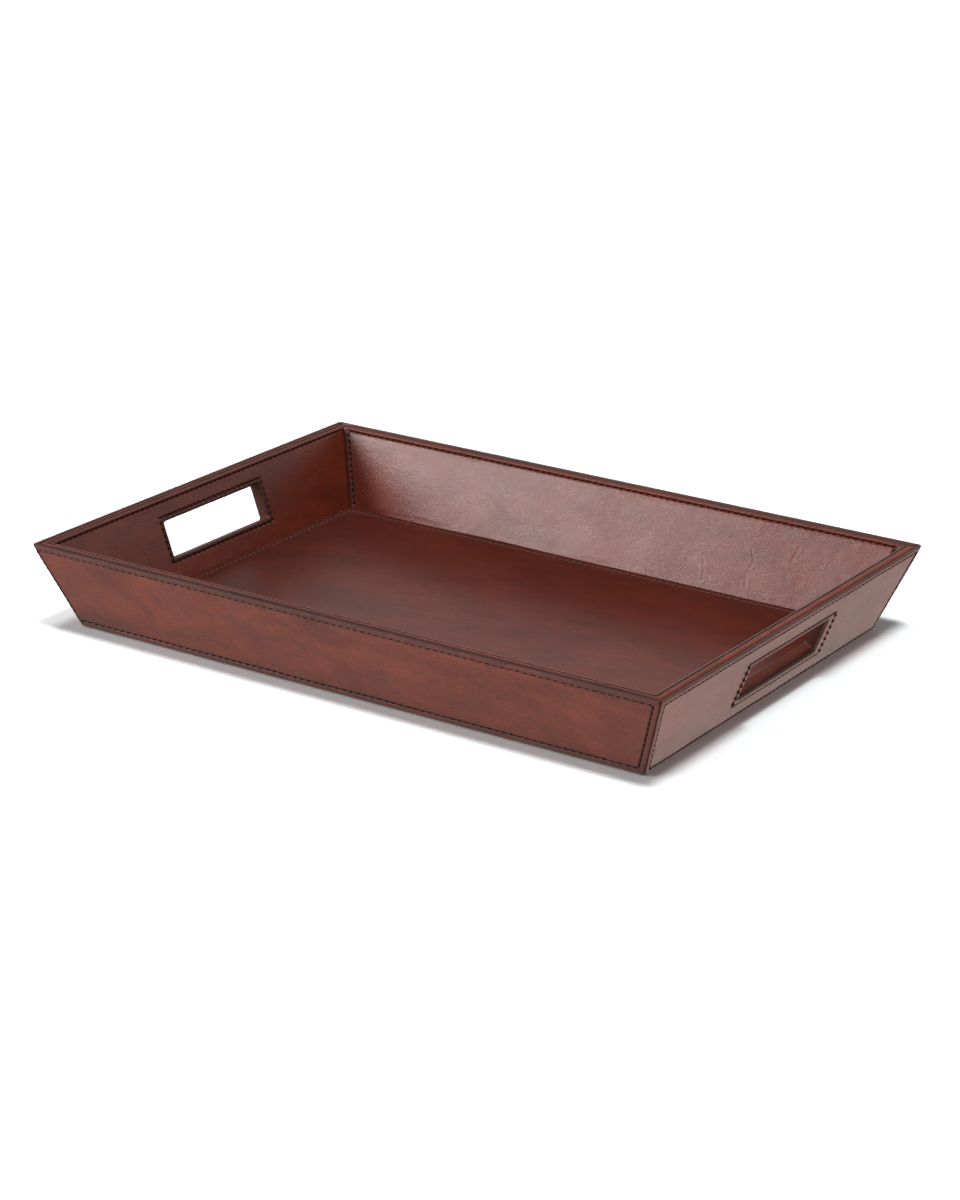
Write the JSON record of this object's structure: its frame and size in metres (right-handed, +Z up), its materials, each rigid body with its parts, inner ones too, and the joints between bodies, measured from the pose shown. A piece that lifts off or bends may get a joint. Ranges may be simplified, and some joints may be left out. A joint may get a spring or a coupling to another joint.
{
  "type": "serving tray",
  "caption": "Shallow rectangular serving tray with flared leather-clad walls, stitched edges and a lined hand hole in each end.",
  "frame": {"origin": "middle of the underside, on the surface that the tray stands on", "axes": "+X along the tray's length towards one hand hole, +Y across it towards the rear wall, +Z up"},
  "size_m": [0.4796, 0.3486, 0.06],
  "materials": {
    "panel_leather": "chestnut brown aniline leather, mottled, satin",
    "floor_hide": "dark red-brown leather, satin",
    "rim_leather": "chestnut brown leather strip with burnished edge",
    "lining_leather": "dark brown leather, matt",
    "thread": "waxed dark brown thread",
    "board": "plain fibreboard",
    "cover_suede": "brown suede, napped"
  },
  "bodies": {
    "root": {"base_board": "board", "front_wall_board": "board", "rear_wall_board": "board", "left_wall_board": "board", "right_wall_board": "board", "front_outer_leather": "panel_leather", "rear_outer_leather": "panel_leather", "left_outer_leather": "panel_leather", "right_outer_leather": "panel_leather", "front_inner_leather": "panel_leather", "rear_inner_leather": "panel_leather", "left_inner_leather": "panel_leather", "right_inner_leather": "panel_leather", "front_rim_strip": "rim_leather", "rear_rim_strip": "rim_leather", "left_rim_strip": "rim_leather", "right_rim_strip": "rim_leather", "floor_leather": "floor_hide", "underside_cover": "cover_suede", "left_hole_lining": "lining_leather", "right_hole_lining": "lining_leather", "front_outer_thread": "thread", "rear_outer_thread": "thread", "left_outer_thread": "thread", "right_outer_thread": "thread", "front_inner_thread": "thread", "rear_inner_thread": "thread", "left_inner_rim_thread": "thread", "right_inner_rim_thread": "thread", "left_hole_outer_thread": "thread", "left_hole_inner_thread": "thread", "right_hole_outer_thread": "thread", "right_hole_inner_thread": "thread", "floor_thread": "thread"}
  },
  "joints": []
}
